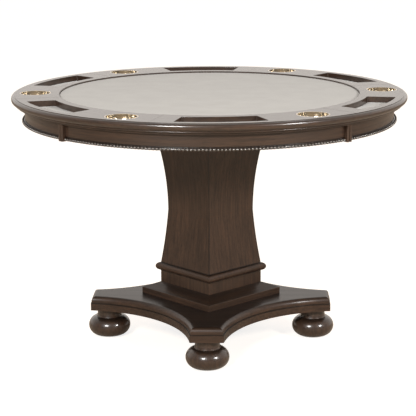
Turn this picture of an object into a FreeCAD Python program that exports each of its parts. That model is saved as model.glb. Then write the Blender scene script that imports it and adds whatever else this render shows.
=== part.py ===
# A round gaming table on a pedestal.  Millimetres, +Z up.
# The origin lies on the table's axis, on the floor.  The four feet and the column's four corners
# point along +X, -X, +Y and -Y.
#
# From the floor up: glides and bun feet, a four-armed platform of two boards, a square step of mitred
# mouldings round a plinth block, a collar board, a waisted column of four mitred panels, its top
# plate, a round sub-top inside a beaded apron, a rim of six segments with a counter tray and a cup
# holder in each, and a cloth-covered playing board in the middle.

import FreeCAD
import Part
import Sketcher
import math
import os
from types import SimpleNamespace

DRIVING = {
    # The whole table
    "table_height": 787.4,
    "top_radius": 609.6,
    # The rim: six wooden segments, with a moulded outer edge
    "rim_thickness": 34.4,
    "field_radius": 463.0,
    "segment_angle": 60.0,
    "first_seam_angle": 15.8,
    "rim_flat_radius": 599.0,
    "rim_quirk": 1.6,
    "rim_ovolo_radius": 8.6,
    "rim_nosing_height": 1.8,
    "rim_undercut_radius": 11.0,
    "rim_neck_radius": 600.0,
    "rim_bead_radius": 596.0,
    "rim_foot_radius": 586.0,
    # A counter tray in each segment, a flat-bottomed well
    "tray_angle": 19.4,
    "tray_inner_radius": 491.0,
    "tray_outer_radius": 577.0,
    "tray_inner_half_angle": 12.4,
    "tray_outer_half_angle": 13.15,
    "tray_depth": 19.0,
    "tray_corner_radius": 4.0,
    "rim_edge_round": 1.0,
    "liner_thickness": 1.5,
    "liner_gap": 0.5,
    # A metal cup in each segment, dropped in from above
    "cup_angle": 48.9,
    "cup_ring_radius": 537.0,
    "cup_bore_radius": 45.7,
    "cup_bore_depth": 21.0,
    "cup_flange_radius": 48.5,
    "cup_flange_thickness": 1.4,
    "cup_wall": 1.2,
    "cup_inner_radius": 44.0,
    "cup_depth": 18.0,
    "cup_floor_round": 6.0,
    "cup_gap": 0.5,
    # Loose splines across the seams between the segments
    "spline_length": 80.0,
    "spline_half_width": 12.0,
    "spline_thickness": 6.0,
    "spline_start_radius": 497.0,
    # The playing board and its cloth
    "field_drop": 4.5,
    "cloth_thickness": 1.5,
    "cloth_skirt": 14.0,
    "field_gap": 0.5,
    # The sub-top and the apron
    "sub_top_thickness": 18.0,
    "apron_radius": 570.0,
    "apron_thickness": 20.0,
    "apron_height": 48.0,
    "apron_groove_height": 12.0,
    "apron_groove_width": 2.4,
    "apron_groove_depth": 3.0,
    "bead_rail_height": 8.8,
    "bead_rail_projection": 9.4,
    "bead_rail_end_angle": 1.0,
    "reed_half_width": 9.5,
    "reed_base": 8.6,
    "reed_gap": 1.0,
    "reed_height": 50.0,
    "glue_block_depth": 25.0,
    "glue_block_height": 28.0,
    "glue_block_half_angle": 3.0,
    "glue_block_count": 8,
    # The column: waisted, square, hollow
    "top_plate_half": 190.0,
    "top_plate_thickness": 18.0,
    "column_top_half": 137.0,
    "column_waist_half": 94.3,
    "column_bottom_half": 112.2,
    "column_waist_height": 412.0,
    "column_bottom_height": 239.5,
    "column_upper_curve": 1131.0,
    "column_lower_curve": 2121.0,
    "panel_thickness": 18.0,
    "block_thickness": 18.0,
    "top_block_half": 113.5,
    "bottom_block_half": 91.5,
    # The collar board, the plinth block and the step mouldings
    "collar_half": 124.5,
    "collar_thickness": 25.5,
    "collar_round": 12.5,
    "plinth_half": 112.4,
    "plinth_wall": 20.0,
    "step_half": 155.0,
    "step_band_top": 158.5,
    "step_top_height": 176.0,
    "step_edge_round": 2.0,
    # The platform: two boards with four arms
    "platform_bottom": 93.0,
    "lower_board_thickness": 23.0,
    "arm_reach": 380.0,
    "arm_half": 51.0,
    "arm_corner_round": 4.0,
    "hollow_radius": 378.0,
    "upper_board_thickness": 21.0,
    "upper_board_inset": 2.5,
    "upper_edge_round": 14.0,
    # The feet and their glides
    "foot_ring_radius": 326.0,
    "foot_radius": 66.0,
    "foot_belly_height": 33.6,
    "foot_bottom_radius": 41.0,
    "foot_lower_curve": 31.3,
    "foot_neck_radius": 40.0,
    "foot_neck_height": 63.6,
    "foot_neck_curve": 43.0,
    "foot_upper_curve": 30.4,
    "glide_radius": 19.0,
    "glide_thickness": 3.0,
    # Fasteners: shank and head radii, head heights, where they stand and how high they reach
    "screw_radius": 2.5,
    "screw_head_radius": 4.8,
    "screw_head_height": 3.0,
    "rim_screw_ring": 476.0,
    "rim_screw_tip": 776.0,
    "board_screw_ring": 300.0,
    "board_screw_tip": 772.0,
    "bolt_radius": 5.0,
    "bolt_head_radius": 9.0,
    "bolt_head_height": 6.0,
    "plate_bolt_ring": 230.0,
    "plate_bolt_tip": 749.0,
    "base_bolt_ring": 80.0,
    "base_bolt_tip": 254.0,
    "foot_bolt_bottom": 48.0,
    "foot_bolt_tip": 130.0,
}

SEGMENTS = 6
QUARTERS = 4
FIRST_CORNER_ANGLE = 45.0
RIM_SCREWS = 12
BOARD_SCREWS = 6

doc = FreeCAD.newDocument("gaming_table")
sheet = doc.addObject("Spreadsheet::Sheet", "Sizes")
for row, (alias, number) in enumerate(DRIVING.items(), start=1):
    sheet.set(f"A{row}", alias)
    sheet.set(f"B{row}", str(number))
    sheet.setAlias(f"B{row}", alias)
doc.recompute()


class Size:
    """A number together with the expression that gives it from the sheet."""

    def __init__(self, value, text):
        self.value = value
        self.text = text

    def __add__(self, other):
        other = as_size(other)
        return Size(self.value + other.value, f"({self.text} + {other.text})")

    def __sub__(self, other):
        other = as_size(other)
        return Size(self.value - other.value, f"({self.text} - {other.text})")

    def __mul__(self, other):
        other = as_size(other)
        return Size(self.value * other.value, f"({self.text} * {other.text})")

    def __truediv__(self, other):
        other = as_size(other)
        return Size(self.value / other.value, f"({self.text} / {other.text})")

    def __neg__(self):
        return Size(-self.value, f"(-1 * {self.text})")


def as_size(number):
    return number if isinstance(number, Size) else Size(float(number), f"{float(number):g}")


def cosine(angle):
    return Size(math.cos(math.radians(angle.value)), f"cos({angle.text})")


def sine(angle):
    return Size(math.sin(math.radians(angle.value)), f"sin({angle.text})")


def at_angle(radius, angle):
    """The plane point at this radius and this angle from +X."""
    return radius * cosine(angle), radius * sine(angle)


d = SimpleNamespace(**{name: Size(number, f"Sizes.{name}") for name, number in DRIVING.items()})
ZERO = as_size(0)

# Heights that several pieces share
rim_bottom = d.table_height - d.rim_thickness
sub_top_bottom = rim_bottom - d.sub_top_thickness
apron_bottom = rim_bottom - d.apron_height
apron_inner_radius = d.apron_radius - d.apron_thickness
column_top = sub_top_bottom - d.top_plate_thickness
collar_bottom = d.column_bottom_height - d.collar_thickness
lower_board_top = d.platform_bottom + d.lower_board_thickness
platform_top = lower_board_top + d.upper_board_thickness
cloth_top = d.table_height - d.field_drop
board_top = cloth_top - d.cloth_thickness

# ---------------------------------------------------------------- helpers


def new_body(label, turn=0.0):
    """An empty body, turned about the table's axis by a number of degrees."""
    body = doc.addObject("PartDesign::Body", label)
    body.Label = label
    body.Placement = FreeCAD.Placement(FreeCAD.Vector(), FreeCAD.Rotation(FreeCAD.Vector(0, 0, 1), turn))
    return body


def origin_item(body, role):
    return next(item for item in body.Origin.OriginFeatures if item.Role == role)


def new_sketch(body, plane, lift=ZERO, shift=ZERO, turn=0.0):
    """A sketch on one of the body's own planes, lifted along the plane's normal, shifted along its
    first direction and turned in the plane."""
    sketch = body.newObject("Sketcher::SketchObject", body.Label + "_sketch")
    sketch.AttachmentSupport = (origin_item(body, plane), [""])
    sketch.MapMode = "FlatFace"
    turning = FreeCAD.Rotation(FreeCAD.Vector(0, 0, 1), turn)
    sketch.AttachmentOffset = FreeCAD.Placement(FreeCAD.Vector(shift.value, 0, lift.value), turning)
    sketch.setExpression("AttachmentOffset.Base.x", shift.text)
    sketch.setExpression("AttachmentOffset.Base.z", lift.text)
    return sketch


def constrain(sketch, kind, places, size):
    index = sketch.addConstraint(Sketcher.Constraint(kind, *places, size.value))
    sketch.setExpression(f"Constraints[{index}]", size.text)


def arc_middle(start, end, radius):
    """The middle of the short arc between two points: a positive radius bulges to the right."""
    chord = end.sub(start)
    half = chord.Length / 2
    sagitta = abs(radius) - math.sqrt(radius * radius - half * half)
    right = FreeCAD.Vector(chord.y, -chord.x, 0).normalize()
    return start.add(chord * 0.5).add(right * math.copysign(sagitta, radius))


def add_outline(sketch, corners):
    """A closed outline, drawn anticlockwise.  A corner is (x, y), or (x, y, radius) where an arc runs
    from it to the next corner: a positive radius is a round, a negative one a hollow."""
    points = [FreeCAD.Vector(as_size(corner[0]).value, as_size(corner[1]).value, 0) for corner in corners]
    starts = []
    ends = []
    for index, corner in enumerate(corners):
        start = points[index]
        end = points[(index + 1) % len(points)]
        if len(corner) == 2:
            edge = sketch.addGeometry(Part.LineSegment(start, end), False)
            first, last = 1, 2
        else:
            radius = corner[2]
            middle = arc_middle(start, end, radius.value)
            edge = sketch.addGeometry(Part.Arc(start, middle, end), False)
            first, last = (1, 2) if radius.value > 0 else (2, 1)
            constrain(sketch, "Radius", (edge,), radius if radius.value > 0 else -radius)
        starts.append((edge, first))
        ends.append((edge, last))
    for index, corner in enumerate(corners):
        constrain(sketch, "DistanceX", (-1, 1, *starts[index]), as_size(corner[0]))
        constrain(sketch, "DistanceY", (-1, 1, *starts[index]), as_size(corner[1]))
        sketch.addConstraint(Sketcher.Constraint("Coincident", *ends[index - 1], *starts[index]))


def outline(body, plane, corners, lift=ZERO, shift=ZERO, turn=0.0):
    sketch = new_sketch(body, plane, lift, shift, turn)
    add_outline(sketch, corners)
    return sketch


def circle(body, radius, lift, centre=(ZERO, ZERO)):
    """A circle in a level plane at this height."""
    sketch = new_sketch(body, "XY_Plane", lift)
    place = FreeCAD.Vector(centre[0].value, centre[1].value, 0)
    edge = sketch.addGeometry(Part.Circle(place, FreeCAD.Vector(0, 0, 1), radius.value), False)
    constrain(sketch, "Radius", (edge,), radius)
    constrain(sketch, "DistanceX", (-1, 1, edge, 3), centre[0])
    constrain(sketch, "DistanceY", (-1, 1, edge, 3), centre[1])
    return sketch


def pad(body, sketch, length, both_sides=False):
    feature = body.newObject("PartDesign::Pad", body.Label + "_pad")
    feature.Profile = sketch
    feature.setExpression("Length", length.text)
    feature.Midplane = both_sides
    return feature


def pocket(body, sketch, depth, upward=False):
    """Cuts down from the sketch, or up from it."""
    feature = body.newObject("PartDesign::Pocket", body.Label + "_pocket")
    feature.Profile = sketch
    feature.setExpression("Length", depth.text)
    feature.Reversed = upward
    return feature


def revolve(body, sketch, angle=as_size(360)):
    """Turns an upright profile about its own vertical axis."""
    feature = body.newObject("PartDesign::Revolution", body.Label + "_revolution")
    feature.Profile = sketch
    feature.ReferenceAxis = (sketch, ["V_Axis"])
    feature.setExpression("Angle", angle.text)
    return feature


def repeat_round(body, feature, count):
    """Repeats a feature evenly round the table's axis."""
    pattern = body.newObject("PartDesign::PolarPattern", body.Label + "_pattern")
    pattern.Originals = [feature]
    pattern.Axis = (origin_item(body, "Z_Axis"), [""])
    pattern.Angle = 360
    pattern.Occurrences = count
    body.Tip = pattern
    return pattern


def drill(body, ring_radius, bottom, top, radius, angle=ZERO):
    """A round hole between two heights, at this radius from the table's axis."""
    hole = circle(body, radius, top, at_angle(ring_radius, angle))
    return pocket(body, hole, top - bottom)


def mitre(body, half_reach, lift, depth):
    """Cuts away what lies beyond the two mitre planes of a piece that faces +X."""
    cut = new_sketch(body, "XY_Plane", lift)
    reach = half_reach * 2
    add_outline(cut, [(ZERO, ZERO), (reach, reach), (ZERO, reach)])
    add_outline(cut, [(ZERO, ZERO), (ZERO, -reach), (reach, -reach)])
    return pocket(body, cut, depth)


def square(half):
    """The corners of a square whose sides face +X, +Y, -X and -Y."""
    return [(half, -half), (half, half), (-half, half), (-half, -half)]


# ---------------------------------------------------------------- the rim and what lies in it


def rim_profile():
    """The rim's section, from its inner top edge round by the bottom to the moulded outer edge."""
    top = d.table_height
    quirk_level = top - d.rim_quirk
    ovolo_start = d.top_radius - d.rim_ovolo_radius
    nosing_top = quirk_level - d.rim_ovolo_radius
    nosing_bottom = nosing_top - d.rim_nosing_height
    neck_top = nosing_bottom - (d.top_radius - d.rim_neck_radius)
    neck_bottom = neck_top - 2
    bead_bottom = neck_bottom - 4
    foot_top = bead_bottom - 1.5
    return [
        (d.field_radius, rim_bottom),
        (d.rim_foot_radius, rim_bottom),
        (d.rim_foot_radius, foot_top, as_size(-8.0)),
        (d.rim_bead_radius, bead_bottom, as_size(2.1)),
        (d.rim_bead_radius, neck_bottom),
        (d.rim_neck_radius, neck_bottom),
        (d.rim_neck_radius, neck_top, d.rim_undercut_radius),
        (d.top_radius, nosing_bottom),
        (d.top_radius, nosing_top, d.rim_ovolo_radius),
        (ovolo_start, quirk_level),
        (d.rim_flat_radius, quirk_level),
        (d.rim_flat_radius, top),
        (d.field_radius, top),
    ]


def tray_corners(gap):
    """The tray's outline in a segment's own frame, drawn in by a gap."""
    inner = d.tray_inner_radius + gap
    outer = d.tray_outer_radius - gap
    inner_half = d.tray_inner_half_angle - gap * 57.3 / inner
    outer_half = d.tray_outer_half_angle - gap * 57.3 / outer
    return [
        (*at_angle(inner, d.tray_angle - inner_half),),
        (*at_angle(outer, d.tray_angle - outer_half), outer),
        (*at_angle(outer, d.tray_angle + outer_half),),
        (*at_angle(inner, d.tray_angle + inner_half), -inner),
    ]


def round_edges(body, feature, radius, wanted):
    """Rounds those of the feature's edges that the test picks out."""
    doc.recompute()
    edges = enumerate(feature.Shape.Edges, start=1)
    fillet = body.newObject("PartDesign::Fillet", body.Label + "_fillet")
    fillet.Base = (feature, [f"Edge{index}" for index, edge in edges if wanted(edge)])
    fillet.setExpression("Radius", radius.text)
    return fillet


def round_level_edges(body, feature, heights, radius):
    """Rounds the feature's edges that lie level at any of these heights."""

    def is_level(edge):
        return any(edge.BoundBox.ZLength < 1e-3 and abs(edge.CenterOfMass.z - height.value) < 1e-3
                   for height in heights)

    return round_edges(body, feature, radius, is_level)


def round_tray_corners(body, feature):
    """Rounds the four upright edges of a tray, or of what fills its bottom."""

    def is_tray_corner(edge):
        box = edge.BoundBox
        reach = math.hypot(edge.CenterOfMass.x, edge.CenterOfMass.y)
        inside = d.tray_inner_radius.value - 1 < reach < d.tray_outer_radius.value + 1
        return inside and box.ZLength > 1 and box.XLength + box.YLength < 1e-3

    return round_edges(body, feature, d.tray_corner_radius, is_tray_corner)


def segment_turn(number):
    return DRIVING["first_seam_angle"] + (number - 1) * DRIVING["segment_angle"]


def rim_segment(number):
    """One sixth of the rim, with its tray, its cup bore and half a spline slot at each end."""
    body = new_body(f"rim_segment_{number}", segment_turn(number))
    revolve(body, outline(body, "XZ_Plane", rim_profile()), d.segment_angle)
    tray = pocket(body, outline(body, "XY_Plane", tray_corners(ZERO), lift=d.table_height), d.tray_depth)
    round_tray_corners(body, tray)
    cup_centre = at_angle(d.cup_ring_radius, d.cup_angle)
    pocket(body, circle(body, d.cup_bore_radius, d.table_height, cup_centre), d.cup_bore_depth)
    seat_radius = d.cup_flange_radius + d.cup_gap
    pocket(body, circle(body, seat_radius, d.table_height, cup_centre), d.cup_flange_thickness)
    for seam in (0.0, DRIVING["segment_angle"]):
        slot = outline(body, "XY_Plane", spline_corners(), lift=spline_top(), turn=seam)
        pocket(body, slot, d.spline_thickness)
    for screw_angle in (d.segment_angle / 4, d.segment_angle * 3 / 4):
        last = drill(body, d.rim_screw_ring, rim_bottom, d.rim_screw_tip, d.screw_radius, screw_angle)
    soften_rim_edges(body, last)
    return body


def soften_rim_edges(body, feature):
    """Takes the sharp arris off the top: the seams, the edge of the field and the mouth of the tray."""
    top = d.table_height.value
    cup_reach = (d.cup_flange_radius + d.cup_gap).value + 1
    cup_x, cup_y = (place.value for place in at_angle(d.cup_ring_radius, d.cup_angle))

    def is_arris(edge):
        centre = edge.CenterOfMass
        level = edge.BoundBox.ZLength < 1e-3 and abs(centre.z - top) < 1e-3
        at_cup = math.hypot(centre.x - cup_x, centre.y - cup_y) < cup_reach
        on_outer_edge = math.hypot(edge.Vertexes[0].X, edge.Vertexes[0].Y) > d.rim_flat_radius.value - 1
        outermost = on_outer_edge and edge.Length > d.rim_flat_radius.value
        return level and not at_cup and not outermost

    return round_edges(body, feature, d.rim_edge_round, is_arris)


def spline_top():
    return rim_bottom + (d.rim_thickness + d.spline_thickness) / 2


def spline_corners():
    end_radius = d.spline_start_radius + d.spline_length
    return [
        (d.spline_start_radius, -d.spline_half_width),
        (end_radius, -d.spline_half_width),
        (end_radius, d.spline_half_width),
        (d.spline_start_radius, d.spline_half_width),
    ]


def rim_splines():
    """Six loose splines, one across each seam."""
    body = new_body("rim_splines", segment_turn(1))
    slip = pad(body, outline(body, "XY_Plane", spline_corners(), lift=spline_top() - d.spline_thickness),
               d.spline_thickness)
    repeat_round(body, slip, SEGMENTS)
    return body


def tray_liner(number):
    """The cloth that lines the bottom of a tray."""
    body = new_body(f"tray_liner_{number}", segment_turn(number))
    floor = d.table_height - d.tray_depth
    shape = outline(body, "XY_Plane", tray_corners(d.liner_gap), lift=floor)
    sheet_pad = pad(body, shape, d.liner_thickness)
    round_tray_corners(body, sheet_pad)
    return body


def cup_insert(number):
    """A spun metal cup with a flat flange, which lies in its seat in the rim and lifts out."""
    body = new_body(f"cup_insert_{number}", segment_turn(number) + DRIVING["cup_angle"])
    top = d.table_height
    flange_bottom = top - d.cup_flange_thickness
    outside = d.cup_inner_radius + d.cup_wall
    inside_floor = top - d.cup_depth
    outside_floor = inside_floor - d.cup_wall
    inside_round = d.cup_floor_round
    outside_round = d.cup_floor_round + d.cup_wall
    profile = [
        (ZERO, outside_floor),
        (outside - outside_round, outside_floor, outside_round),
        (outside, outside_floor + outside_round),
        (outside, flange_bottom),
        (d.cup_flange_radius, flange_bottom),
        (d.cup_flange_radius, top),
        (d.cup_inner_radius, top),
        (d.cup_inner_radius, inside_floor + inside_round, -inside_round),
        (d.cup_inner_radius - inside_round, inside_floor),
        (ZERO, inside_floor),
    ]
    revolve(body, outline(body, "XZ_Plane", profile, shift=d.cup_ring_radius))
    return body


def playing_board():
    """The round board under the cloth, screwed down through the sub-top."""
    body = new_body("playing_board")
    radius = d.field_radius - d.field_gap - d.cloth_thickness
    pad(body, circle(body, radius, rim_bottom), board_top - rim_bottom)
    hole = drill(body, d.board_screw_ring, rim_bottom, d.board_screw_tip, d.screw_radius)
    repeat_round(body, hole, BOARD_SCREWS)
    return body


def playing_cloth():
    """The cloth over the board, turned down round its edge."""
    body = new_body("playing_cloth")
    outside = d.field_radius - d.field_gap
    inside = outside - d.cloth_thickness
    hem = cloth_top - d.cloth_skirt
    profile = [
        (ZERO, board_top),
        (inside, board_top),
        (inside, hem),
        (outside, hem),
        (outside, cloth_top),
        (ZERO, cloth_top),
    ]
    revolve(body, outline(body, "XZ_Plane", profile))
    return body


# ---------------------------------------------------------------- the sub-top and the apron


def sub_top():
    """The round board that carries the rim, the playing board and the apron."""
    body = new_body("sub_top")
    pad(body, circle(body, apron_inner_radius, sub_top_bottom), d.sub_top_thickness)
    top = rim_bottom
    rim_screw_angle = d.first_seam_angle + d.segment_angle / 4
    rim_hole = drill(body, d.rim_screw_ring, sub_top_bottom, top, d.screw_radius, rim_screw_angle)
    repeat_round(body, rim_hole, RIM_SCREWS)
    board_hole = drill(body, d.board_screw_ring, sub_top_bottom, top, d.screw_radius)
    repeat_round(body, board_hole, BOARD_SCREWS)
    bolt_hole = drill(body, d.plate_bolt_ring, sub_top_bottom, d.plate_bolt_tip, d.bolt_radius)
    repeat_round(body, bolt_hole, QUARTERS)
    return body


def quarter_turn(number):
    return FIRST_CORNER_ANGLE + (number - 1) * 90.0


def apron_quarter(number):
    """A quarter of the apron, with a groove above the beads."""
    body = new_body(f"apron_quarter_{number}", quarter_turn(number))
    groove_bottom = apron_bottom + d.apron_groove_height - d.apron_groove_width
    groove_top = apron_bottom + d.apron_groove_height
    groove_radius = d.apron_radius - d.apron_groove_depth
    profile = [
        (apron_inner_radius, apron_bottom),
        (d.apron_radius, apron_bottom),
        (d.apron_radius, groove_bottom),
        (groove_radius, groove_bottom),
        (groove_radius, groove_top),
        (d.apron_radius, groove_top),
        (d.apron_radius, rim_bottom),
        (apron_inner_radius, rim_bottom),
    ]
    revolve(body, outline(body, "XZ_Plane", profile), as_size(90))
    return body


def bead_rail(number):
    """The beaded rail along the foot of an apron quarter, here as its plain half-round blank."""
    body = new_body(f"bead_rail_{number}", quarter_turn(number) + DRIVING["bead_rail_end_angle"])
    half_height = d.bead_rail_height / 2
    outside = d.apron_radius + d.bead_rail_projection
    top = apron_bottom + d.bead_rail_height
    profile = [
        (d.apron_radius, apron_bottom),
        (outside - half_height, apron_bottom, half_height),
        (outside, apron_bottom + half_height, half_height),
        (outside - half_height, top),
        (d.apron_radius, top),
    ]
    revolve(body, outline(body, "XZ_Plane", profile), as_size(90) - d.bead_rail_end_angle * 2)
    return body


def apron_reed_strip(number):
    """The upright double-reeded strip that covers the joint between two apron quarters."""
    body = new_body(f"apron_reed_strip_{number}", quarter_turn(number))
    half = d.reed_half_width
    back = d.apron_radius - half * half / (d.apron_radius * 2)
    front = d.apron_radius + d.reed_base
    between = d.reed_gap / 2
    reed_radius = (half - between) / 2
    crest = front + reed_radius
    axis = between + reed_radius
    corners = [
        (back, -half),
        (front, -half, reed_radius),
        (crest, -axis, reed_radius),
        (front, -between),
        (front, between, reed_radius),
        (crest, axis, reed_radius),
        (front, half),
        (back, half, -d.apron_radius),
    ]
    pad(body, outline(body, "XY_Plane", corners, lift=rim_bottom - d.reed_height), d.reed_height)
    return body


def apron_glue_blocks():
    """Blocks glued in the corner between the sub-top and the apron."""
    body = new_body("apron_glue_blocks", FIRST_CORNER_ANGLE / 2)
    inside = apron_inner_radius - d.glue_block_depth
    half = d.glue_block_half_angle
    corners = [
        (*at_angle(inside, -half),),
        (*at_angle(apron_inner_radius, -half), apron_inner_radius),
        (*at_angle(apron_inner_radius, half),),
        (*at_angle(inside, half), -inside),
    ]
    block = pad(body, outline(body, "XY_Plane", corners, lift=sub_top_bottom - d.glue_block_height),
                d.glue_block_height)
    repeat_round(body, block, int(DRIVING["glue_block_count"]))
    return body


# ---------------------------------------------------------------- the column


def column_top_plate():
    """The square plate on the column's head, bolted up into the sub-top."""
    body = new_body("column_top_plate", FIRST_CORNER_ANGLE)
    pad(body, outline(body, "XY_Plane", square(d.top_plate_half), lift=column_top), d.top_plate_thickness)
    hole = drill(body, d.plate_bolt_ring, column_top, sub_top_bottom, d.bolt_radius, as_size(45))
    repeat_round(body, hole, QUARTERS)
    return body


def column_panel(number):
    """One of the four waisted panels: an upright curved board, mitred along both edges."""
    body = new_body(f"column_panel_{number}", quarter_turn(number))
    bottom = d.column_bottom_height
    waist = d.column_waist_height
    wall = d.panel_thickness
    profile = [
        (d.column_bottom_half, bottom, -d.column_lower_curve),
        (d.column_waist_half, waist, -d.column_upper_curve),
        (d.column_top_half, column_top),
        (d.column_top_half - wall, column_top, d.column_upper_curve),
        (d.column_waist_half - wall, waist, d.column_lower_curve),
        (d.column_bottom_half - wall, bottom),
    ]
    pad(body, outline(body, "XZ_Plane", profile), d.column_top_half * 3, both_sides=True)
    mitre(body, d.column_top_half, column_top, column_top - bottom)
    return body


def column_block(label, half, bottom):
    """A square board glued inside one end of the column."""
    body = new_body(label, FIRST_CORNER_ANGLE)
    pad(body, outline(body, "XY_Plane", square(half), lift=bottom), d.block_thickness)
    return body


def drill_base_bolts(body, bottom, top):
    hole = drill(body, d.base_bolt_ring, bottom, top, d.bolt_radius, as_size(45))
    return repeat_round(body, hole, QUARTERS)


def collar_board():
    """The board under the column, its edge all but a full half round."""
    body = new_body("collar_board", FIRST_CORNER_ANGLE)
    shape = outline(body, "XY_Plane", square(d.collar_half), lift=collar_bottom)
    board = pad(body, shape, d.collar_thickness)
    round_level_edges(body, board, (collar_bottom, d.column_bottom_height), d.collar_round)
    drill_base_bolts(body, collar_bottom, d.column_bottom_height)
    return body


def plinth_block():
    """The square block under the collar, built up hollow."""
    body = new_body("plinth_block", FIRST_CORNER_ANGLE)
    height = collar_bottom - platform_top
    pad(body, outline(body, "XY_Plane", square(d.plinth_half), lift=platform_top), height)
    inside = d.plinth_half - d.plinth_wall
    pocket(body, outline(body, "XY_Plane", square(inside), lift=collar_bottom), height)
    return body


def step_moulding(number):
    """One side of the square step: a mitred moulding planted round the foot of the plinth block."""
    body = new_body(f"step_moulding_{number}", quarter_turn(number))
    edge = d.step_edge_round
    profile = [
        (d.plinth_half, platform_top),
        (d.step_half, platform_top),
        (d.step_half, d.step_band_top - edge, edge),
        (d.step_half - edge, d.step_band_top),
        (d.plinth_half, d.step_top_height),
    ]
    pad(body, outline(body, "XZ_Plane", profile), d.step_half * 3, both_sides=True)
    mitre(body, d.step_half, d.step_top_height, d.step_top_height - platform_top)
    return body


# ---------------------------------------------------------------- the platform and the feet


def arm_corners(inset):
    """The four-armed outline, drawn in by an inset: square ends, with hollow curves between them."""
    reach = d.arm_reach - inset
    half = d.arm_half - inset
    hollow = d.hollow_radius + inset
    return [
        (reach, -half),
        (reach, half, -hollow),
        (half, reach),
        (-half, reach, -hollow),
        (-reach, half),
        (-reach, -half, -hollow),
        (-half, -reach),
        (half, -reach, -hollow),
    ]


def drill_platform(body, bottom, top):
    """The holes for the base bolts, between the arms' roots, and for the foot bolts, out on the arms."""
    repeat_round(body, drill(body, d.base_bolt_ring, bottom, top, d.bolt_radius), QUARTERS)
    foot_hole_top = top if top.value < d.foot_bolt_tip.value else d.foot_bolt_tip
    repeat_round(body, drill(body, d.foot_ring_radius, bottom, foot_hole_top, d.bolt_radius), QUARTERS)


def platform_lower_board():
    """The lower board of the platform, with counterbores for the base bolts' heads."""
    body = new_body("platform_lower_board")
    corners = arm_corners(ZERO)
    bottom = d.platform_bottom
    board = pad(body, outline(body, "XY_Plane", corners, lift=bottom), d.lower_board_thickness)
    round_edges(body, board, d.arm_corner_round, lambda edge: edge.BoundBox.ZLength > 1)
    drill_platform(body, bottom, lower_board_top)
    head_top = bottom + d.bolt_head_height
    repeat_round(body, drill(body, d.base_bolt_ring, bottom, head_top, d.bolt_head_radius), QUARTERS)
    return body


def platform_upper_board():
    """The upper board of the platform, set in all round, its top edge rounded over."""
    body = new_body("platform_upper_board")
    corners = arm_corners(d.upper_board_inset)
    board = pad(body, outline(body, "XY_Plane", corners, lift=lower_board_top), d.upper_board_thickness)
    round_level_edges(body, board, (platform_top,), d.upper_edge_round)
    drill_platform(body, lower_board_top, platform_top)
    return body


def bun_foot(number):
    """A turned bun foot with a neck under the platform and a hole for its bolt."""
    body = new_body(f"bun_foot_{number}", (number - 1) * 90.0)
    profile = [
        (ZERO, d.glide_thickness),
        (d.foot_bottom_radius, d.glide_thickness, d.foot_lower_curve),
        (d.foot_radius, d.foot_belly_height, d.foot_upper_curve),
        (d.foot_neck_radius, d.foot_neck_height, -d.foot_neck_curve),
        (d.foot_neck_radius, d.platform_bottom),
        (ZERO, d.platform_bottom),
    ]
    revolve(body, outline(body, "XZ_Plane", profile, shift=d.foot_ring_radius))
    drill(body, d.foot_ring_radius, d.foot_bolt_bottom, d.platform_bottom, d.bolt_radius)
    return body


def foot_glides():
    """Four felt glides under the feet."""
    body = new_body("foot_glides")
    disc = pad(body, circle(body, d.glide_radius, ZERO, (d.foot_ring_radius, ZERO)), d.glide_thickness)
    repeat_round(body, disc, QUARTERS)
    return body


# ---------------------------------------------------------------- fasteners


def fastener_ring(label, turn, ring, count, bottom, tip, radius, head_radius, head_height):
    """Identical headed fasteners, heads down, evenly round the table's axis."""
    body = new_body(label, turn)
    profile = [
        (ZERO, bottom),
        (head_radius, bottom),
        (head_radius, bottom + head_height),
        (radius, bottom + head_height),
        (radius, tip),
        (ZERO, tip),
    ]
    bolt = revolve(body, outline(body, "XZ_Plane", profile, shift=ring))
    repeat_round(body, bolt, count)
    return body


def rod_ring(label, ring, count, bottom, tip, radius):
    """Identical headless rods, evenly round the table's axis."""
    body = new_body(label)
    rod = pad(body, circle(body, radius, bottom, (ring, ZERO)), tip - bottom)
    repeat_round(body, rod, count)
    return body


# ---------------------------------------------------------------- the whole table

pieces = []
for number in range(1, SEGMENTS + 1):
    pieces.append(rim_segment(number))
    pieces.append(tray_liner(number))
    pieces.append(cup_insert(number))
pieces.append(rim_splines())
pieces.append(playing_board())
pieces.append(playing_cloth())
pieces.append(sub_top())
for number in range(1, QUARTERS + 1):
    pieces.append(apron_quarter(number))
    pieces.append(bead_rail(number))
    pieces.append(apron_reed_strip(number))
pieces.append(apron_glue_blocks())

pieces.append(column_top_plate())
pieces.append(column_block("column_top_block", d.top_block_half, column_top - d.block_thickness))
for number in range(1, QUARTERS + 1):
    pieces.append(column_panel(number))
bottom_block = column_block("column_bottom_block", d.bottom_block_half, d.column_bottom_height)
drill_base_bolts(bottom_block, d.column_bottom_height, d.base_bolt_tip)
pieces.append(bottom_block)
pieces.append(collar_board())
pieces.append(plinth_block())
for number in range(1, QUARTERS + 1):
    pieces.append(step_moulding(number))

pieces.append(platform_lower_board())
pieces.append(platform_upper_board())
for number in range(1, QUARTERS + 1):
    pieces.append(bun_foot(number))
pieces.append(foot_glides())

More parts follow.
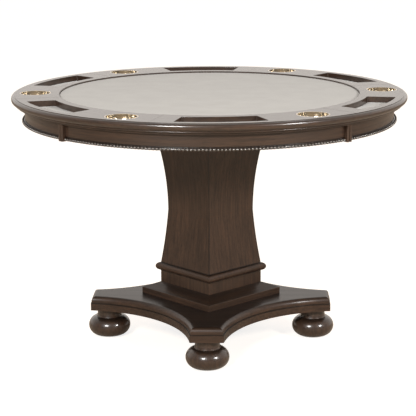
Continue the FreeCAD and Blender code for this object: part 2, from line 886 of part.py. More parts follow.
screw_size = (d.screw_radius, d.screw_head_radius, d.screw_head_height)
bolt_size = (d.bolt_radius, d.bolt_head_radius, d.bolt_head_height)
rim_screw_turn = DRIVING["first_seam_angle"] + DRIVING["segment_angle"] / 4
screw_seat = sub_top_bottom - d.screw_head_height
plate_bolt_seat = column_top - d.bolt_head_height
pieces.append(fastener_ring("rim_screws", rim_screw_turn, d.rim_screw_ring, RIM_SCREWS,
                            screw_seat, d.rim_screw_tip, *screw_size))
pieces.append(fastener_ring("board_screws", 0.0, d.board_screw_ring, BOARD_SCREWS,
                            screw_seat, d.board_screw_tip, *screw_size))
pieces.append(fastener_ring("top_plate_bolts", 0.0, d.plate_bolt_ring, QUARTERS,
                            plate_bolt_seat, d.plate_bolt_tip, *bolt_size))
pieces.append(fastener_ring("base_bolts", 0.0, d.base_bolt_ring, QUARTERS,
                            d.platform_bottom, d.base_bolt_tip, *bolt_size))
pieces.append(rod_ring("foot_bolts", d.foot_ring_radius, QUARTERS,
                       d.foot_bolt_bottom, d.foot_bolt_tip, d.bolt_radius))

doc.recompute()
for item in doc.Objects:
    if "Invalid" in item.State or "Error" in item.State:
        raise RuntimeError(f"{item.Label} failed: {item.State}")
for piece in pieces:
    if piece.Shape.isNull() or not piece.Shape.isValid() or not piece.Shape.Solids:
        raise RuntimeError(f"{piece.Label} has no valid solid")

os.makedirs("parts", exist_ok=True)
for piece in pieces:
    piece.Shape.exportStep(f"parts/{piece.Label}.step")
    count = len(piece.Shape.Solids)
    print(f"{piece.Label}: {count} solid(s), {piece.Shape.Volume / 1000:.1f} cm3")
print(len(pieces), "pieces")
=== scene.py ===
# %% [markdown]
# # A round gaming table on a pedestal
#
# The table is a piece of turned and moulded furniture: a ring of six wooden segments with counter
# trays and metal cups, a stretched cloth in the middle, a beaded apron, a waisted column and four bun
# feet. The wooden and metal pieces already exist as exact solids in the frame. This lesson gives every
# one of them its finish, and makes what is better modelled by hand: the beads and the cloths.
#
# First the frame is loaded.

# %% Load the frame
import math
import bpy
import bmesh
from mathutils import Matrix, Vector


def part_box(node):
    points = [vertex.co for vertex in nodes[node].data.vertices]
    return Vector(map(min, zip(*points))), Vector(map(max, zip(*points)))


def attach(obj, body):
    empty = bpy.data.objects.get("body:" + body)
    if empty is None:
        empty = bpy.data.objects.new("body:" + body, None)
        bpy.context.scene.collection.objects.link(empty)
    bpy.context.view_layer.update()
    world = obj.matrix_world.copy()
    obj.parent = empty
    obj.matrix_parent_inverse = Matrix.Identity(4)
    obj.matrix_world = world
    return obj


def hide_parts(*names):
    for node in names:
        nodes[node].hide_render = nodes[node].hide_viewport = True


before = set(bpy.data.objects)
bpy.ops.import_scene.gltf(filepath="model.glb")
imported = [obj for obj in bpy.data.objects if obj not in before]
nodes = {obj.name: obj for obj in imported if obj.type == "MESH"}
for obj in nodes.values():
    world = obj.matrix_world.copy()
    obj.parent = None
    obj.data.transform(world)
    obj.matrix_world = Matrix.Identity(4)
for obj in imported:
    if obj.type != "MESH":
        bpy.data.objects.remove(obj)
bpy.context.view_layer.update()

print(len(nodes), "pieces in the frame")

# %% [markdown]
# ## The camera
#
# A long lens far away shows a table without making its near edge bulge. The camera stands at the height
# of a person's chin and a hand's length to the right of the middle. It looks slightly down, almost
# square to the front foot. Turning it towards the table would tip one foot lower than the other. So it
# looks past the table, and its lens is shifted sideways, as on a view camera, which brings the table
# back to the middle and keeps the left and right feet level.

# %% Camera
CAMERA_PLACE = (0.1639, -4.5845, 1.4624)
CAMERA_TILT = 0.2244
CAMERA_TURN = 0.0107
LENS_LENGTH = 128.99
LENS_SHIFT = -0.0935

camera_data = bpy.data.cameras.new("camera")
camera_data.lens = LENS_LENGTH
camera_data.sensor_width = 36.0
camera_data.shift_x = LENS_SHIFT
camera = bpy.data.objects.new("camera", camera_data)
bpy.context.scene.collection.objects.link(camera)
camera.location = CAMERA_PLACE
camera.rotation_euler = (math.pi / 2 - CAMERA_TILT, 0.0, CAMERA_TURN)
bpy.context.scene.camera = camera
print("camera at", [round(value, 3) for value in camera.location])

# %% [markdown]
# ## Colours and nodes
#
# Finishes are described as on a paint card, in sRGB hex values, but a shader works in linear light, so
# one function converts them. A second one adds a shader node with its settings, its links and, for a
# colour ramp, its stops. Every material below is built with these two.

# %% Colour and node helpers


def linear(hex_colour):
    """A linear RGBA colour from an sRGB hex value."""
    values = [int(hex_colour[index:index + 2], 16) / 255 for index in (1, 3, 5)]
    return (*[v / 12.92 if v <= 0.04045 else ((v + 0.055) / 1.055) ** 2.4 for v in values], 1.0)


def add_node(tree, kind, settings=None, inputs=None, stops=()):
    """Adds a node. An input is a number, a colour or a socket; stops are a ramp's, from low to high."""
    node = tree.nodes.new(kind)
    for name, value in (settings or {}).items():
        setattr(node, name, value)
    for name, value in (inputs or {}).items():
        if isinstance(value, bpy.types.NodeSocket):
            tree.links.new(value, node.inputs[name])
        else:
            node.inputs[name].default_value = value
    for index, (position, hex_colour) in enumerate(stops):
        elements = node.color_ramp.elements
        element = elements[index] if index < len(elements) else elements.new(position)
        element.position = position
        element.color = linear(hex_colour)
    return node


def new_material(name):
    """An empty material and its node tree."""
    material = bpy.data.materials.new(name)
    material.use_nodes = True
    tree = material.node_tree
    tree.nodes.clear()
    return material, tree


def finish_material(tree, shader):
    """Joins the shader to the material's output."""
    add_node(tree, "ShaderNodeOutputMaterial", inputs={"Surface": shader.outputs["BSDF"]})


print("mid grey is", round(linear("#808080")[0], 3), "in linear light")

# %% [markdown]
# ## The floor
#
# The table stands on a sweep of studio paper that is lit until it is plain white. A white floor would do
# that too, but then the dark lacquer would mirror all of its brightness and turn grey. A Light Path node
# tells the two apart: what the camera sees of the paper directly is lifted to white, with only a breath
# of shadow, and the table is lit by the duller, slightly warm paper itself.

# %% Floor
FLOOR_HALF_SIZE = 30.0
FLOOR_GLOW = 0.8
WHITE = (1.0, 1.0, 1.0, 1.0)

floor_mesh = bpy.data.meshes.new("floor")
sweep = bmesh.new()
bmesh.ops.create_grid(sweep, x_segments=1, y_segments=1, size=FLOOR_HALF_SIZE)
sweep.to_mesh(floor_mesh)
sweep.free()
floor = bpy.data.objects.new("floor", floor_mesh)
bpy.context.scene.collection.objects.link(floor)

# Studio paper is matt, and has no pattern that shows at this distance.
paper, tree = new_material("white_studio_paper")
seen = add_node(tree, "ShaderNodeLightPath").outputs["Is Camera Ray"]
overexposed = add_node(tree, "ShaderNodeMath", {"operation": "MULTIPLY"}, {0: seen, 1: FLOOR_GLOW})
finish_material(tree, add_node(tree, "ShaderNodeBsdfPrincipled", inputs={
    "Base Color": linear("#b6a795"), "Roughness": 0.9, "Specular IOR Level": 0.2,
    "Emission Color": WHITE, "Emission Strength": overexposed.outputs[0]}))
floor_mesh.materials.append(paper)
print("floor", 2 * FLOOR_HALF_SIZE, "m across")

# %% [markdown]
# ## The studio
#
# The light is what shows a lacquer. The bright, warm wall behind the table glances off the flat rim and
# turns it pale, while the upright faces see the darker side of the studio and keep their stain. A wall
# could be a large lit panel, but the world does it with less noise: its brightness follows the depth of
# the direction that is looked in. The backdrop that the camera sees directly is plain white.

# %% Studio
BRIGHTNESS_BEHIND = 1.07
BRIGHTNESS_IN_FRONT = 0.2
WALL_DEPTH = 0.6
WARM_WHITE = (1.0, 0.93, 0.87, 1.0)

world = bpy.data.worlds.new("studio")
world.use_nodes = True
tree = world.node_tree
tree.nodes.clear()
direction = add_node(tree, "ShaderNodeTexCoord").outputs["Generated"]
depth = add_node(tree, "ShaderNodeSeparateXYZ", inputs={"Vector": direction}).outputs["Y"]
glow = add_node(tree, "ShaderNodeMapRange", {"interpolation_type": "SMOOTHSTEP"}, {
    "Value": depth, "From Min": -WALL_DEPTH, "From Max": WALL_DEPTH,
    "To Min": BRIGHTNESS_IN_FRONT, "To Max": BRIGHTNESS_BEHIND})
walls = add_node(tree, "ShaderNodeBackground", inputs={
    "Color": WARM_WHITE, "Strength": glow.outputs["Result"]})
backdrop = add_node(tree, "ShaderNodeBackground", inputs={"Color": WHITE, "Strength": 1.0})
seen = add_node(tree, "ShaderNodeLightPath").outputs["Is Camera Ray"]
studio = add_node(tree, "ShaderNodeMixShader", inputs={
    0: seen, 1: walls.outputs["Background"], 2: backdrop.outputs["Background"]})
add_node(tree, "ShaderNodeOutputWorld", inputs={"Surface": studio.outputs["Shader"]})
bpy.context.scene.world = world
bpy.context.scene.view_settings.view_transform = "Standard"
print("the studio is", BRIGHTNESS_BEHIND, "bright behind the table and", BRIGHTNESS_IN_FRONT, "in front")

# %% [markdown]
# ## The lamps
#
# Two strong soft boxes stand in front of the table. They light the column's two faces unequally, draw
# the bright lines along the edge mouldings, and leave a pair of small highlights on every foot. An area
# lamp is used rather than a point or a sun, because its shape is what a glossy curve mirrors: an oval
# gives the feet round highlights.

# %% Lamps
LAMP_AIM = Vector((0.0, 0.0, 0.3))
LAMP_HEIGHT = 0.7


def soft_box(name, place, width, power):
    """An oval lamp aimed at the table, hidden from the camera itself."""
    data = bpy.data.lights.new(name, "AREA")
    data.shape = "ELLIPSE"
    data.size = width
    data.size_y = LAMP_HEIGHT
    data.energy = power
    lamp = bpy.data.objects.new(name, data)
    bpy.context.scene.collection.objects.link(lamp)
    lamp.location = place
    lamp.rotation_euler = (LAMP_AIM - Vector(place)).to_track_quat("-Z", "Y").to_euler()
    lamp.visible_camera = False


soft_box("front_left_box", (-1.2, -3.5, 2.2), 1.0, 160.0)
soft_box("front_right_box", (2.8, -2.5, 2.1), 0.9, 120.0)

# %% [markdown]
# ## The grain of the wood
#
# Wood is not the same in every direction: all that is seen in it is long along the grain and narrow
# across it. A picture of wood would need to be wrapped round every piece, so the grain is made of noise
# instead, in real metres, and squeezed across. Only its direction differs from piece to piece:
#
# - level, at an angle in degrees round the upright axis, for boards and mouldings;
# - upright, for the column and the feet;
# - around, for the bent apron, where the angle round the table becomes the length of the grain.

# %% Grain
# About the radius of the apron, where an angle round the table is turned into a length of grain.
BEND_RADIUS = 0.58


def grain_coordinates(tree, grain):
    """Object coordinates turned so that X runs along the grain, in metres."""
    place = add_node(tree, "ShaderNodeTexCoord").outputs["Object"]
    if grain == "around":
        parts = add_node(tree, "ShaderNodeSeparateXYZ", inputs={"Vector": place})
        angle = add_node(tree, "ShaderNodeMath", {"operation": "ARCTAN2"}, {
            0: parts.outputs["Y"], 1: parts.outputs["X"]})
        length = add_node(tree, "ShaderNodeMath", {"operation": "MULTIPLY"}, {
            0: angle.outputs[0], 1: BEND_RADIUS})
        radius = add_node(tree, "ShaderNodeVectorMath", {"operation": "LENGTH"}, {0: place})
        return add_node(tree, "ShaderNodeCombineXYZ", inputs={
            "X": length.outputs[0], "Y": parts.outputs["Z"], "Z": radius.outputs["Value"]}).outputs["Vector"]
    turn = (0.0, math.pi / 2, 0.0) if grain == "upright" else (0.0, 0.0, -math.radians(grain))
    return add_node(tree, "ShaderNodeMapping", {"vector_type": "POINT"}, {
        "Vector": place, "Rotation": turn}).outputs["Vector"]


def grain_noise(tree, coordinates, length, width, detail, shift=0.0):
    """Noise stretched along the grain: length and width are its features' size in metres."""
    squeezed = add_node(tree, "ShaderNodeMapping", {"vector_type": "POINT"}, {
        "Vector": coordinates, "Location": (shift, shift, shift),
        "Scale": (1 / length, 1 / width, 1 / width)})
    return add_node(tree, "ShaderNodeTexNoise", inputs={
        "Vector": squeezed.outputs["Vector"], "Scale": 1.0, "Detail": detail,
        "Roughness": 0.6}).outputs["Fac"]


print("one turn of the apron is", round(2 * math.pi * BEND_RADIUS, 2), "m of grain")

# %% [markdown]
# ## Glaze in the joints
#
# A dark glaze is brushed over the stained wood and wiped off again, and the cloth does not reach into
# the joints. It leaves thin dark lines there: down the column's mitred corners, and above and below the
# mouldings. They could be painted by hand on each piece, but most joints of furniture are flat, so a
# joint is described here as a plane, by its normal and its distance from the origin, and the wood
# darkens near it.

# %% Glaze
JOINT_GLAZE = 0.4
JOINT_LINE = 0.0005
JOINT_GLAZE_REACH = 0.0035


def glaze_in_joint(tree, normal, distance):
    """1 on open wood, falling to JOINT_GLAZE on the plane of a joint."""
    place = add_node(tree, "ShaderNodeTexCoord").outputs["Object"]
    along = add_node(tree, "ShaderNodeVectorMath", {"operation": "DOT_PRODUCT"}, {0: place, 1: normal})
    offset = add_node(tree, "ShaderNodeMath", {"operation": "SUBTRACT"}, {
        0: along.outputs["Value"], 1: distance})
    away = add_node(tree, "ShaderNodeMath", {"operation": "ABSOLUTE"}, {0: offset.outputs[0]})
    return add_node(tree, "ShaderNodeMapRange", {"interpolation_type": "SMOOTHSTEP"}, {
        "Value": away.outputs[0], "From Min": JOINT_LINE, "From Max": JOINT_GLAZE_REACH,
        "To Min": JOINT_GLAZE, "To Max": 1.0}).outputs["Result"]


print("a glaze line is", 2000 * JOINT_GLAZE_REACH, "mm wide")

# %% [markdown]
# ## Stained birch
#
# The table's wood is birch, stained grey-brown, glazed and finished with a satin lacquer. Three things
# make it read as wood: soft streaks a few millimetres wide run with the grain, short pores darken them,
# and the stain takes unevenly over a hand's breadth. Painted shade also darkens the level faces, so the
# tops of the boards are darker than their edges.
#
# The lacquer is the shader's coat, a clear second layer over the wood. The feet and the top have more
# coats of it than the rest of the pedestal, so they are glossier.

# %% Stained birch
STREAK_WIDTH = 0.007
STREAK_LENGTH = 0.22
# Birch pores are about a tenth of a millimetre wide. They are drawn wider so that they show at all.
PORE_WIDTH = 0.0016
PORE_LENGTH = 0.03
STAIN_PATCH_WIDTH = 0.09
STAIN_PATCH_LENGTH = 0.144
# Painted shade: faces that point straight up keep only this fraction of the stain's brightness.
LEVEL_FACE_PAINTED_SHADE = 0.25
STAIN = ((0.30, "#281b13"), (0.50, "#34251b"), (0.72, "#402d21"))


def stain_shade(tree, coordinates, pores, shift):
    """How much pores, stain patches and painted shade on level faces darken the stain, as a list of factors.
    """
    patches = grain_noise(tree, coordinates, STAIN_PATCH_LENGTH, STAIN_PATCH_WIDTH, 2.0, shift)
    normal = add_node(tree, "ShaderNodeNewGeometry").outputs["Normal"]
    upward = add_node(tree, "ShaderNodeSeparateXYZ", inputs={"Vector": normal}).outputs["Z"]
    # The last range is painted shade: the more a face points up, the darker it is.
    ranges = ((pores, 0.36, 0.5, 0.62, 1.0), (patches, 0.3, 0.7, 0.84, 1.16),
              (upward, 0.5, 1.0, 1.0, LEVEL_FACE_PAINTED_SHADE))
    return [add_node(tree, "ShaderNodeMapRange", inputs={
        "Value": value, "From Min": low, "From Max": high, "To Min": at_low,
        "To Max": at_high}).outputs["Result"] for value, low, high, at_low, at_high in ranges]


def stained_birch(name, grain, shift, lacquer, joints=()):
    """Birch with a dark grey-brown stain, glaze in the joints and painted shade on level faces, under satin
    lacquer.
    """
    material, tree = new_material(name)
    coordinates = grain_coordinates(tree, grain)
    streaks = grain_noise(tree, coordinates, STREAK_LENGTH, STREAK_WIDTH, 5.0, shift)
    pores = grain_noise(tree, coordinates, PORE_LENGTH, PORE_WIDTH, 3.0, shift)
    colour = add_node(tree, "ShaderNodeValToRGB", inputs={"Fac": streaks}, stops=STAIN).outputs["Color"]
    factors = stain_shade(tree, coordinates, pores, shift)
    factors += [glaze_in_joint(tree, normal, distance) for normal, distance in joints]
    for factor in factors:
        colour = add_node(tree, "ShaderNodeVectorMath", {"operation": "SCALE"}, {
            0: colour, "Scale": factor}).outputs["Vector"]
    gloss = add_node(tree, "ShaderNodeMapRange", inputs={
        "Value": streaks, "From Min": 0.3, "From Max": 0.7, "To Min": 0.46, "To Max": 0.38})
    relief = add_node(tree, "ShaderNodeBump", inputs={
        "Height": pores, "Strength": 0.12, "Distance": 0.0006})
    finish_material(tree, add_node(tree, "ShaderNodeBsdfPrincipled", inputs={
        "Base Color": colour, "Roughness": gloss.outputs["Result"],
        "Normal": relief.outputs["Normal"], "IOR": 1.5, "Specular IOR Level": 0.25,
        "Coat Weight": lacquer, "Coat Roughness": 0.19, "Coat IOR": 1.5}))
    return material


print("streaks of", 1000 * STREAK_WIDTH, "mm and pores of", 1000 * PORE_WIDTH, "mm")

# %% [markdown]
# ## Painting the rim and the apron
#
# The rim is cut from straight boards, so the grain of each segment follows its chord, and the change of
# direction at every seam is what gives a segmented rim away. The apron is bent, and its grain bends with
# it. Each piece comes from another board: the noise is shifted along for each one.

# %% Rim and apron
TOP_LACQUER = 0.85
FIRST_SEAM = 15.8
UP = (0.0, 0.0, 1.0)


def paint(node_names, material):
    """Gives the CAD nodes this material in every slot."""
    for name in node_names:
        mesh = nodes[name].data
        if not mesh.materials:
            mesh.materials.append(material)
        for index in range(len(mesh.materials)):
            mesh.materials[index] = material


def level_joint(piece, end):
    """The plane of a piece's lower (0) or upper (1) end."""
    return UP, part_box(piece)[end][2]


for number in range(1, 7):
    middle_of_segment = FIRST_SEAM + (number - 0.5) * 60.0
    paint([f"rim_segment_{number}"], stained_birch(
        f"stained_birch_rim_{number}", middle_of_segment + 90.0, number * 3.1, TOP_LACQUER))

apron_joints = [level_joint("apron_quarter_1", 1), level_joint("bead_rail_1", 1)]
apron_wood = stained_birch("stained_birch_apron", "around", 0.0, TOP_LACQUER, apron_joints)
paint([f"apron_quarter_{number}" for number in range(1, 5)], apron_wood)
print(len(bpy.data.materials), "materials so far")

# %% [markdown]
# ## Painting the pedestal
#
# The column, the plinth and the feet stand upright, and so does their grain. The mouldings of the step
# follow the four sides of the square, and the platform's boards run straight through from left to
# right. One loop paints the pieces that come in fours, and a short list the boards.

# %% Pedestal
FOOT_LACQUER = 0.9
BASE_LACQUER = 0.28
MITRES = [((1.0, 0.0, 0.0), 0.0), ((0.0, 1.0, 0.0), 0.0)]

collar_joints = [level_joint("collar_board", 0), level_joint("collar_board", 1)]
step_joint = [level_joint("step_moulding_1", 0)]
foot_joint = [level_joint("bun_foot_1", 1)]
board_joint = [level_joint("platform_upper_board", 0)]

for number in range(1, 5):
    side_angle = 45.0 + (number - 1) * 90.0
    for piece, grain, shift, lacquer, joints in (
            ("step_moulding", side_angle + 90.0, 1.7, BASE_LACQUER, step_joint),
            ("column_panel", "upright", 2.3, BASE_LACQUER, MITRES + collar_joints),
            ("bun_foot", "upright", 5.9, FOOT_LACQUER, foot_joint),
            ("apron_reed_strip", "upright", 4.3, TOP_LACQUER, [])):
        paint([f"{piece}_{number}"], stained_birch(
            f"stained_birch_{piece}_{number}", grain, number * shift, lacquer, joints))

for board, pieces, grain, shift, joints in (
        ("collar", ["collar_board"], 135.0, 8.0, collar_joints),
        ("plinth", ["plinth_block"], "upright", 14.0, collar_joints),
        ("platform", ["platform_lower_board", "platform_upper_board"], 0.0, 11.0, board_joint)):
    paint(pieces, stained_birch(f"stained_birch_{board}", grain, shift, BASE_LACQUER, joints))
print(len(bpy.data.materials), "materials so far")

# %% [markdown]
# ## Bare plywood
#
# Underneath, the sub-top, the blocks and the splines are unfinished birch plywood. Nothing lies over
# the wood there, so it is pale and matt, with faint streaks and no coat. The same noise serves, with
# broader streaks, because rotary-cut veneer shows wide, washed-out figure.

# %% Bare plywood
PLYWOOD_STREAK_LENGTH = 0.3
PLYWOOD_STREAK_WIDTH = 0.012

plywood, tree = new_material("bare_birch_plywood")
streaks = grain_noise(tree, grain_coordinates(tree, 0.0), PLYWOOD_STREAK_LENGTH, PLYWOOD_STREAK_WIDTH, 4.0)
wood = add_node(tree, "ShaderNodeValToRGB", inputs={"Fac": streaks},
                stops=((0.3, "#a5815a"), (0.7, "#c9a77c")))
relief = add_node(tree, "ShaderNodeBump", inputs={"Height": streaks, "Strength": 0.2, "Distance": 0.0005})
finish_material(tree, add_node(tree, "ShaderNodeBsdfPrincipled", inputs={
    "Base Color": wood.outputs["Color"], "Roughness": 0.75, "Normal": relief.outputs["Normal"]}))
bare_pieces = ["sub_top", "playing_board", "rim_splines", "apron_glue_blocks", "column_top_plate",
               "column_top_block", "column_bottom_block"]
paint(bare_pieces, plywood)
print(len(bare_pieces), "bare pieces")

# %% [markdown]
# ## Zinc-plated steel
#
# The screws and bolts are steel with a bright zinc plate. Plating is a metal like any other to the
# shader, except that it crystallises unevenly: it is cloudy rather than one even polish, so a fine noise
# drives the roughness and the colour stays plain.

# %% Zinc-plated steel
CLOUDS_PER_METRE = 400.0

zinc, tree = new_material("zinc_plated_steel")
place = add_node(tree, "ShaderNodeTexCoord").outputs["Object"]
cloud = add_node(tree, "ShaderNodeTexNoise", inputs={
    "Vector": place, "Scale": CLOUDS_PER_METRE, "Detail": 3.0})
gloss = add_node(tree, "ShaderNodeMapRange", inputs={
    "Value": cloud.outputs["Fac"], "To Min": 0.28, "To Max": 0.45})
finish_material(tree, add_node(tree, "ShaderNodeBsdfPrincipled", inputs={
    "Base Color": linear("#b9bcbc"), "Metallic": 1.0, "Roughness": gloss.outputs["Result"]}))
fasteners = ["rim_screws", "board_screws", "top_plate_bolts", "base_bolts", "foot_bolts"]
paint(fasteners, zinc)
print(len(fasteners), "kinds of fastener")

# %% [markdown]
# ## Pressed felt
#
# The glides under the feet are pressed wool felt, a mat of fibres with no weave. Hair by hair would be
# far too much for a disc that hardly shows, so a fine noise gives the tangle, in colour and in relief,
# and a little sheen the fuzz along the edge.

# %% Pressed felt
# Wool fibres are some hundredths of a millimetre thick. The tangle is drawn far coarser, so that it shows.
FIBRES_PER_METRE = 900.0

felt, tree = new_material("pressed_felt")
place = add_node(tree, "ShaderNodeTexCoord").outputs["Object"]
fibres = add_node(tree, "ShaderNodeTexNoise", inputs={
    "Vector": place, "Scale": FIBRES_PER_METRE, "Detail": 4.0}).outputs["Fac"]
shade = add_node(tree, "ShaderNodeValToRGB", inputs={"Fac": fibres},
                 stops=((0.0, "#2a2522"), (1.0, "#4a423c")))
relief = add_node(tree, "ShaderNodeBump", inputs={"Height": fibres, "Strength": 0.5, "Distance": 0.0006})
finish_material(tree, add_node(tree, "ShaderNodeBsdfPrincipled", inputs={
    "Base Color": shade.outputs["Color"], "Roughness": 0.95, "Sheen Weight": 0.3,
    "Normal": relief.outputs["Normal"]}))
paint(["foot_glides"], felt)
print("the felt's tangle is drawn about", round(1000 / FIBRES_PER_METRE, 1), "mm wide")

# %% [markdown]
# ## The cups
#
# The cups are spun brass: a disc is pressed over a turning former, so the metal carries very fine
# rings, and then it is polished. A metal has no colour of its own apart from its reflections, so the
# work is in the roughness and the rings. The rings are relief in the shader, since cutting them into the
# mesh would take many thousands of faces. They run round each cup's own axis, so every cup has its own
# copy of the material.

# %% Cups
# A wave texture of scale 1 has a band every 314 mm: this is a ring every millimetre. Real ones are
# finer, about 0.3 mm, and would not show.
RING_WAVES = 300.0
TARNISH_PER_METRE = 60.0


def spun_brass(name, centre):
    """Polished spun brass with fine rings round the cup's own axis."""
    material, tree = new_material(name)
    place = add_node(tree, "ShaderNodeTexCoord").outputs["Object"]
    moved = add_node(tree, "ShaderNodeMapping", inputs={"Vector": place, "Location": -centre})
    rings = add_node(tree, "ShaderNodeTexWave", {"wave_type": "RINGS", "rings_direction": "Z"}, {
        "Vector": moved.outputs["Vector"], "Scale": RING_WAVES, "Distortion": 0.6, "Detail": 2.0})
    tarnish = add_node(tree, "ShaderNodeTexNoise", inputs={
        "Vector": place, "Scale": TARNISH_PER_METRE, "Detail": 3.0}).outputs["Fac"]
    tint = add_node(tree, "ShaderNodeValToRGB", inputs={"Fac": tarnish},
                    stops=((0.0, "#b9ad9a"), (1.0, "#ddd4c4")))
    gloss = add_node(tree, "ShaderNodeMapRange", inputs={"Value": tarnish, "To Min": 0.12, "To Max": 0.26})
    relief = add_node(tree, "ShaderNodeBump", inputs={
        "Height": rings.outputs["Fac"], "Strength": 0.06, "Distance": 0.0002})
    finish_material(tree, add_node(tree, "ShaderNodeBsdfPrincipled", inputs={
        "Base Color": tint.outputs["Color"], "Metallic": 1.0, "Roughness": gloss.outputs["Result"],
        "Normal": relief.outputs["Normal"]}))
    return material


for number in range(1, 7):
    low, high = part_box(f"cup_insert_{number}")
    paint([f"cup_insert_{number}"], spun_brass(f"spun_brass_{number}", (Vector(low) + Vector(high)) / 2))
print("cups are", round((high[0] - low[0]) * 1000, 1), "mm across")

# %% [markdown]
# ## The finish of the beads
#
# The rail at the foot of the apron is a turned string of beads, split down the middle and glued on.
# After glazing, raised beads are rubbed back with a cloth: their crests come out pale and glossy, and
# the dark glaze stays between them. The pale crests are also a painted highlight. The beads' upper halves
# are painted lighter and their undersides darker, as painted light and shade from above. Painting each
# bead would be endless, so the colour follows the distance from the table's axis and the slope of the
# surface, which are the same for all of them.

# %% Rubbed birch and painted highlight
BEAD_RADIUS = 0.0043
RAIL_BACK_RADIUS = 0.570
RAIL_PROJECTION = 0.0094
CLEARANCE = 0.0002
WEAR_PER_METRE = 90.0
bead_ring_radius = RAIL_BACK_RADIUS + RAIL_PROJECTION - BEAD_RADIUS - CLEARANCE

bead_wood, tree = new_material("rubbed_birch_beads_painted_highlight")
place = add_node(tree, "ShaderNodeTexCoord").outputs["Object"]
level = add_node(tree, "ShaderNodeVectorMath", {"operation": "MULTIPLY"}, {0: place, 1: (1.0, 1.0, 0.0)})
radius = add_node(tree, "ShaderNodeVectorMath", {"operation": "LENGTH"}, {0: level.outputs["Vector"]})
# The outermost part of each bead is pale: partly a rubbed-back crest, partly a painted highlight.
crest = add_node(tree, "ShaderNodeMapRange", inputs={
    "Value": radius.outputs["Value"], "From Min": bead_ring_radius + 0.5 * BEAD_RADIUS,
    "From Max": bead_ring_radius + BEAD_RADIUS})
wear = add_node(tree, "ShaderNodeTexNoise", inputs={
    "Vector": place, "Scale": WEAR_PER_METRE, "Detail": 2.0})
worn = add_node(tree, "ShaderNodeMath", {"operation": "MULTIPLY_ADD", "use_clamp": True}, {
    0: wear.outputs["Fac"], 1: 0.5, 2: -0.25})
rubbed_and_painted_highlight = add_node(tree, "ShaderNodeMath", {"operation": "ADD", "use_clamp": True}, {
    0: crest.outputs["Result"], 1: worn.outputs[0]})
normal = add_node(tree, "ShaderNodeNewGeometry").outputs["Normal"]
upward = add_node(tree, "ShaderNodeSeparateXYZ", inputs={"Vector": normal}).outputs["Z"]
# Painted light and shade: faces that point up stay pale, faces that point down turn dark.
painted_light_from_above = add_node(tree, "ShaderNodeMapRange", inputs={"Value": upward, "From Min": -0.25, "From Max": 0.3})
pale = add_node(tree, "ShaderNodeMath", {"operation": "MULTIPLY"}, {
    0: rubbed_and_painted_highlight.outputs[0], 1: painted_light_from_above.outputs["Result"]})
# The pale stop is the rubbed crest and the painted highlight, the dark one the glaze and painted shade.
wood = add_node(tree, "ShaderNodeValToRGB", inputs={"Fac": pale.outputs[0]},
                stops=((0.1, "#1d150f"), (1.0, "#928a82")))
finish_material(tree, add_node(tree, "ShaderNodeBsdfPrincipled", inputs={
    "Base Color": wood.outputs["Color"], "Roughness": 0.35, "IOR": 1.5,
    "Coat Weight": 1.0, "Coat Roughness": 0.16, "Coat IOR": 1.5}))
print("the beads' middles are", round(1000 * bead_ring_radius, 1), "mm from the axis")

# %% [markdown]
# ## The beads
#
# There are hundreds of beads, so each one is a sphere of only seventy faces. The spheres are placed along
# the arc of each apron quarter, a bead's pitch apart, and the first and the last one stand clear of the
# reeded strips. A thin round string joins them. It could be a curve, but a small circle spun round the
# table's axis gives the same tube in one call, in the same mesh as the beads.

# %% Beads
BEAD_PITCH = 0.0106
STRING_RADIUS = 0.0027
STRING_STAND_OFF = 0.55
REED_HALF_WIDTH = 0.0095
FIRST_BEAD_GAP = 0.006

rail_low, rail_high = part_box("bead_rail_1")
rail_middle = (rail_low[2] + rail_high[2]) / 2


def finished(name, mesh_data, material):
    """Turns a bmesh into a smooth-shaded piece that rides on the table."""
    mesh = bpy.data.meshes.new(name)
    mesh_data.to_mesh(mesh)
    mesh_data.free()
    for polygon in mesh.polygons:
        polygon.use_smooth = True
    mesh.materials.append(material)
    piece = bpy.data.objects.new(name, mesh)
    bpy.context.scene.collection.objects.link(piece)
    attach(piece, "table")
    return piece


def spin_string(bm, start, angle):
    """The string behind the beads: a small circle spun round the axis, and closed at both ends."""
    bmesh.ops.create_circle(bm, segments=10, radius=STRING_RADIUS,
                            matrix=Matrix.Rotation(math.pi / 2, 4, "X"))
    string_place = (RAIL_BACK_RADIUS + STRING_STAND_OFF * STRING_RADIUS, 0.0, rail_middle)
    bmesh.ops.translate(bm, verts=bm.verts, vec=string_place)
    bmesh.ops.rotate(bm, verts=bm.verts, cent=(0, 0, 0), matrix=Matrix.Rotation(start, 3, "Z"))
    first_loop = bm.edges[:]
    swept = bmesh.ops.spin(bm, geom=bm.verts[:] + first_loop, cent=(0, 0, 0), axis=(0, 0, 1),
                           angle=angle, steps=72)
    last_loop = [item for item in swept["geom_last"] if isinstance(item, bmesh.types.BMEdge)]
    bmesh.ops.contextual_create(bm, geom=first_loop)
    bmesh.ops.contextual_create(bm, geom=last_loop)


def bead_string(number):
    """One quarter's string and the beads on it."""
    bm = bmesh.new()
    clear_angle = math.asin((REED_HALF_WIDTH + CLEARANCE) / bead_ring_radius)
    start = math.radians(45.0 + (number - 1) * 90.0) + clear_angle
    sweep_angle = math.pi / 2 - 2 * clear_angle
    spin_string(bm, start, sweep_angle)
    room = sweep_angle * bead_ring_radius - 2 * FIRST_BEAD_GAP
    count = int(room / BEAD_PITCH) + 1
    step = room / (count - 1) / bead_ring_radius
    first = start + FIRST_BEAD_GAP / bead_ring_radius
    for index in range(count):
        turn = Matrix.Rotation(first + index * step, 4, "Z")
        place = turn @ Matrix.Translation((bead_ring_radius, 0.0, rail_middle))
        bmesh.ops.create_uvsphere(bm, u_segments=10, v_segments=7, radius=BEAD_RADIUS, matrix=place)
    bmesh.ops.recalc_face_normals(bm, faces=bm.faces)
    piece = finished(f"beads_{number}", bm, bead_wood)
    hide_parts(f"bead_rail_{number}")
    return count


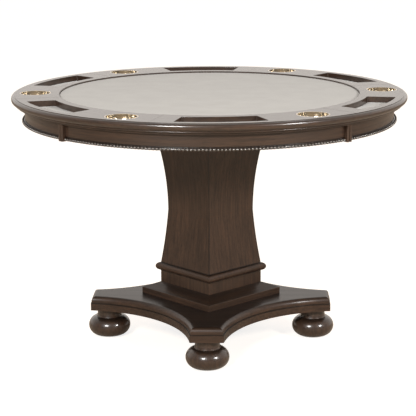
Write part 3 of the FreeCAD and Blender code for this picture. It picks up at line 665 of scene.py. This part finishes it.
bead_counts = [bead_string(number) for number in range(1, 5)]
print(bead_counts, "beads in the quarters")

# %% [markdown]
# ## Wool cloth
#
# The playing field and the trays are covered with a closely woven wool cloth with a short nap. Two wave
# textures, one across the other, make the warp and the weft, and a soft noise the cloudiness of the nap.
# The weave is in colour and in relief, and the sheen gives the pale bloom that wool has when it is seen
# from low down.

# %% Wool cloth
# Threads are about half a millimetre apart. They are drawn 3 mm apart so that the weave shows at all: a
# wave texture of scale 1 has a band every 314 mm.
THREAD_WAVES = 100.0
NAP_CLOUDS_PER_METRE = 14.0

cloth_material, tree = new_material("wool_cloth")
place = add_node(tree, "ShaderNodeTexCoord").outputs["Object"]
warp, weft = [add_node(tree, "ShaderNodeTexWave", {"bands_direction": across}, {
    "Vector": place, "Scale": THREAD_WAVES, "Distortion": 1.5, "Detail": 2.0,
    "Detail Scale": 3.0}).outputs["Fac"] for across in "XY"]
weave = add_node(tree, "ShaderNodeMath", {"operation": "MULTIPLY"}, {0: warp, 1: weft}).outputs[0]
nap = add_node(tree, "ShaderNodeTexNoise", inputs={
    "Vector": place, "Scale": NAP_CLOUDS_PER_METRE, "Detail": 6.0})
mixed = add_node(tree, "ShaderNodeMath", {"operation": "MULTIPLY_ADD"}, {
    0: weave, 1: 0.25, 2: nap.outputs["Fac"]})
shade = add_node(tree, "ShaderNodeValToRGB", inputs={"Fac": mixed.outputs[0]},
                 stops=((0.3, "#79746b"), (0.85, "#847f76")))
relief = add_node(tree, "ShaderNodeBump", inputs={"Height": weave, "Strength": 0.25, "Distance": 0.0004})
finish_material(tree, add_node(tree, "ShaderNodeBsdfPrincipled", inputs={
    "Base Color": shade.outputs["Color"], "Roughness": 0.9, "Sheen Weight": 0.25,
    "Sheen Roughness": 0.5, "Normal": relief.outputs["Normal"]}))
print("threads drawn", round(1000 * math.pi / 10 / THREAD_WAVES, 1), "mm apart")

# %% [markdown]
# ## The playing field
#
# The cloth is stretched over its board and turned down round the edge, where it makes a small soft
# roll. A simulation would only find out that a stretched cloth is flat, so it is modelled directly, as a
# circle whose edge is extruded down and bevelled. Insets divide the middle into rings, so that no face
# is very large.

# %% Playing field
FIELD_SIDES = 192
ROLL_RADIUS = 0.0012
RING_WIDTHS = (0.004, 0.03, 0.08, 0.12, 0.12)

cloth_low, cloth_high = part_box("playing_cloth")
cloth_radius = (cloth_high[0] - cloth_low[0]) / 2
cloth_top = cloth_high[2]
cloth_drop = cloth_top - cloth_low[2]

bm = bmesh.new()
bmesh.ops.create_circle(bm, cap_ends=True, segments=FIELD_SIDES, radius=cloth_radius,
                        matrix=Matrix.Translation((0, 0, cloth_top)))
skirt = bmesh.ops.extrude_edge_only(bm, edges=bm.edges[:])
lowered = [item for item in skirt["geom"] if isinstance(item, bmesh.types.BMVert)]
bmesh.ops.translate(bm, verts=lowered, vec=(0, 0, -cloth_drop))
top_edge = [edge for edge in bm.edges if len(edge.link_faces) == 2
            and all(abs(v.co.z - cloth_top) < 1e-6 for v in edge.verts)]
bmesh.ops.bevel(bm, geom=top_edge, offset=ROLL_RADIUS, segments=4, profile=0.5, affect="EDGES", material=-1)
for width in RING_WIDTHS:
    middle = max(bm.faces, key=lambda face: face.calc_area())
    bmesh.ops.inset_region(bm, faces=[middle], thickness=width, use_even_offset=True)
bmesh.ops.recalc_face_normals(bm, faces=bm.faces)
field = finished("playing_field_cloth", bm, cloth_material)
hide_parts("playing_cloth")

# %% [markdown]
# ## The tray liners
#
# The trays are lined with the same cloth, cut to fit and laid in. A liner has its tray's outline, so
# drawing it again would only risk a gap: each one starts from a copy of its plain solid. That mesh is
# loose triangles, so its doubles are merged and its flat faces joined before the top edge is rounded.

# %% Tray liners
LINER_EDGE_ROUND = 0.0007


def tray_liner(number):
    """A tray's liner, from a merged copy of its solid, with a softened edge."""
    bm = bmesh.new()
    bm.from_mesh(nodes[f"tray_liner_{number}"].data)
    bmesh.ops.remove_doubles(bm, verts=bm.verts, dist=1e-6)
    bmesh.ops.dissolve_limit(bm, angle_limit=math.radians(1.0), verts=bm.verts, edges=bm.edges)
    top = max(bm.faces, key=lambda face: face.calc_area() * (face.normal.z > 0.9))
    area = top.calc_area()
    bmesh.ops.bevel(bm, geom=list(top.edges), offset=LINER_EDGE_ROUND, segments=3, profile=0.5,
                    affect="EDGES", material=-1)
    piece = finished(f"tray_liner_cloth_{number}", bm, cloth_material)
    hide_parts(f"tray_liner_{number}")
    return area


liner_areas = [tray_liner(number) for number in range(1, 7)]
print("liners of", round(liner_areas[0] * 1e4, 1), "square centimetres")

# %% The end
print("every piece has its finish")
